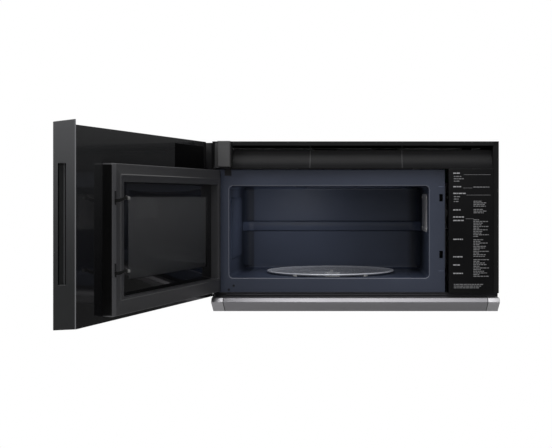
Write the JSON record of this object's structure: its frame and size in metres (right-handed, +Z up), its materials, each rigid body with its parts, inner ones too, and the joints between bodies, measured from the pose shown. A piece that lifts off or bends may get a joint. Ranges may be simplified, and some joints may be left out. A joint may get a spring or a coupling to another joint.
{
  "type": "over-the-range microwave oven",
  "caption": "Wide box oven for the wall over a range, with a full-width side-hung door standing open, glass turntable, top air outlet and bright bottom trim bar.",
  "frame": {"origin": "centre of the rear face that hangs on the wall, on the body's middle height", "axes": "+X to the right seen from the front, +Y into the wall, +Z up; the door stands open towards -Y"},
  "size_m": [0.9723, 1.1276, 0.463],
  "materials": {
    "black_paint": "satin powder coat",
    "enamel": "grey-blue gloss enamel",
    "galvanised": "galvanised sheet",
    "steel": "brushed",
    "bright_steel": "polished pin and shaft steel",
    "dark_steel": "black plated",
    "black_plastic": "fine grain",
    "grey_plastic": "fine grain",
    "white_plastic": "satin",
    "gloss_black": "mirror gloss",
    "outer_glass": "black backed",
    "window": "dark tinted",
    "clear_glass": "clear",
    "frosted": "frosted",
    "mica": "mica board",
    "board": "circuit board",
    "can": "bare",
    "mesh": "woven mesh",
    "charcoal": "granular",
    "iron": "varnished laminations"
  },
  "bodies": {
    "cabinet": {"cabinet_wrap": "black_paint", "wall_plate": "galvanised", "rear_panel": "galvanised", "base_pan": "black_paint", "oven_cavity": "enamel", "face_plate": "enamel", "wave_cover": "mica", "waveguide": "galvanised", "magnetron": "can", "fan_housing": "black_plastic", "transformer": "iron", "capacitor": "can", "power_board": "board", "line_filter": "board", "cord_gland": "black_plastic", "blower_housing": "galvanised", "blower_motor": "galvanised", "vent_deflector": "black_plastic", "charcoal_filter": "charcoal", "exhaust_cover": "black_paint", "guide_panel": "black_plastic", "front_sill": "dark_steel", "trim_bar": "steel", "trim_bar_caps": "steel", "hinge_bracket_upper": "dark_steel", "hinge_bracket_lower": "dark_steel", "hinge_cover": "grey_plastic", "latch_holder": "black_plastic", "door_switches": "black_plastic", "turntable_motor": "galvanised", "oven_lamp": "galvanised", "cooktop_lamps": "galvanised", "lamp_lenses": "frosted", "cabinet_screws": "dark_steel"},
    "cooling_fan_wheel": {"cooling_fan": "white_plastic"},
    "blower": {"blower_shaft": "bright_steel", "blower_wheel_left": "galvanised", "blower_wheel_right": "galvanised"},
    "turntable": {"turntable_coupler": "white_plastic", "glass_tray": "clear_glass"},
    "tray_ring": {"roller_ring": "black_plastic"},
    "tray_roller_1": {"roller_1": "black_plastic"},
    "tray_roller_2": {"roller_2": "black_plastic"},
    "tray_roller_3": {"roller_3": "black_plastic"},
    "door": {"door_glass": "outer_glass", "door_core": "black_plastic", "door_liner": "gloss_black", "end_cap": "black_plastic", "choke_frame": "grey_plastic", "door_screen": "dark_steel", "window_glass": "window", "touch_board": "board", "hinge_leaf_upper": "dark_steel", "hinge_leaf_lower": "dark_steel", "latch_spring": "bright_steel"},
    "latch": {"door_latch": "black_plastic"},
    "plunger_upper": {"switch_plunger_upper": "white_plastic"},
    "plunger_lower": {"switch_plunger_lower": "white_plastic"},
    "filter_left": {"grease_filter_left": "mesh"},
    "filter_right": {"grease_filter_right": "mesh"}
  },
  "joints": [
    {"name": "door_hinge", "type": "hinge", "parent": "cabinet", "child": "door", "pos_m": [-0.3745, -0.4045, 0], "axis": [0, 0, 1], "range_deg": [0, 104]},
    {"name": "latch_lift", "type": "slide", "parent": "door", "child": "latch", "axis": [0, 0, 1], "range_m": [0, 0.004], "stiffness_N_per_m": 400, "springref_m": -0.003, "deforming": ["latch_spring"]},
    {"name": "plunger_upper_press", "type": "slide", "parent": "cabinet", "child": "plunger_upper", "axis": [0, 1, 0], "range_m": [0, 0.003], "stiffness_N_per_m": 300, "springref_m": -0.002},
    {"name": "plunger_lower_press", "type": "slide", "parent": "cabinet", "child": "plunger_lower", "axis": [0, 1, 0], "range_m": [0, 0.003], "stiffness_N_per_m": 300, "springref_m": -0.002},
    {"name": "turntable_spin", "type": "hinge", "parent": "cabinet", "child": "turntable", "pos_m": [-0.0705, -0.196, -0.14], "axis": [0, 0, 1], "continuous": true},
    {"name": "ring_spin", "type": "hinge", "parent": "cabinet", "child": "tray_ring", "pos_m": [-0.0705, -0.196, -0.14], "axis": [0, 0, 1], "continuous": true},
    {"name": "roller_1_spin", "type": "hinge", "parent": "tray_ring", "child": "tray_roller_1", "pos_m": [-0.0705, -0.082, -0.1438], "axis": [0, 1, 0], "continuous": true},
    {"name": "roller_2_spin", "type": "hinge", "parent": "tray_ring", "child": "tray_roller_2", "pos_m": [-0.16923, -0.253, -0.1438], "axis": [-0.866, -0.5, 0], "continuous": true},
    {"name": "roller_3_spin", "type": "hinge", "parent": "tray_ring", "child": "tray_roller_3", "pos_m": [0.02823, -0.253, -0.1438], "axis": [0.866, -0.5, 0], "continuous": true},
    {"name": "blower_spin", "type": "hinge", "parent": "cabinet", "child": "blower", "pos_m": [0, -0.105, 0.166], "axis": [1, 0, 0], "continuous": true},
    {"name": "cooling_fan_spin", "type": "hinge", "parent": "cabinet", "child": "cooling_fan_wheel", "pos_m": [0.28, -0.0475, 0.035], "axis": [0, 1, 0], "continuous": true},
    {"name": "filter_left_pull", "type": "slide", "parent": "cabinet", "child": "filter_left", "axis": [0, 0, -1], "range_m": [0, 0.07]},
    {"name": "filter_right_pull", "type": "slide", "parent": "cabinet", "child": "filter_right", "axis": [0, 0, -1], "range_m": [0, 0.07]}
  ],
  "couplings": [
    {"joint": "ring_spin", "follows": "turntable_spin", "ratio": 0.5},
    {"joint": "roller_1_spin", "follows": "turntable_spin", "ratio": -8.1429},
    {"joint": "roller_2_spin", "follows": "turntable_spin", "ratio": -8.1429},
    {"joint": "roller_3_spin", "follows": "turntable_spin", "ratio": -8.1429}
  ]
}
